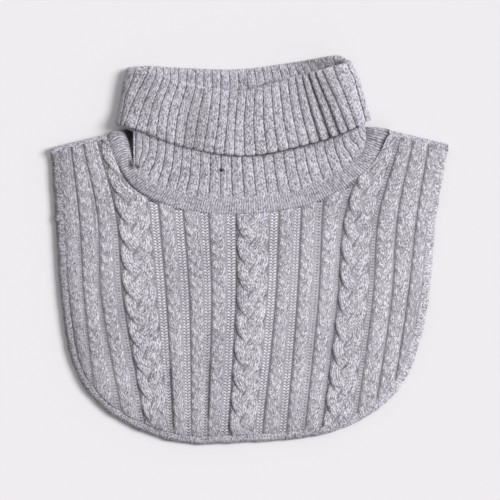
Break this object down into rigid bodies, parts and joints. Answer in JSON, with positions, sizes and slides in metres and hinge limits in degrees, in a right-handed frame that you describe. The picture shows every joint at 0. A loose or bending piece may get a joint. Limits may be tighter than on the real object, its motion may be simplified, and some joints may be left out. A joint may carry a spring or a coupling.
{
  "type": "knitted neck warmer",
  "caption": "Knitted neck warmer lying flat: a folded rib turtleneck collar on a cable-knit front bib and a back bib.",
  "frame": {"origin": "centre of the garment's outline, on the surface that it lies on", "axes": "+X across the shoulders, +Y up the collar towards its mouth, +Z off the surface, out of the front"},
  "size_m": [0.3568, 0.3488, 0.0222],
  "materials": {
    "cable_knit": "light grey marl wool, cable knit",
    "back_knit": "light grey marl wool, plain ribs",
    "rib_knit": "light grey marl wool, ribbed",
    "jersey_knit": "light grey marl wool, plain jersey",
    "edge_knit": "light grey marl wool, linked edge"
  },
  "bodies": {
    "root": {"front_bib": "cable_knit", "back_bib": "back_knit", "collar": "rib_knit", "neck_band": "jersey_knit", "front_edge": "edge_knit", "back_edge": "edge_knit", "shoulder_seam_left": "edge_knit", "shoulder_seam_right": "edge_knit"}
  },
  "joints": []
}
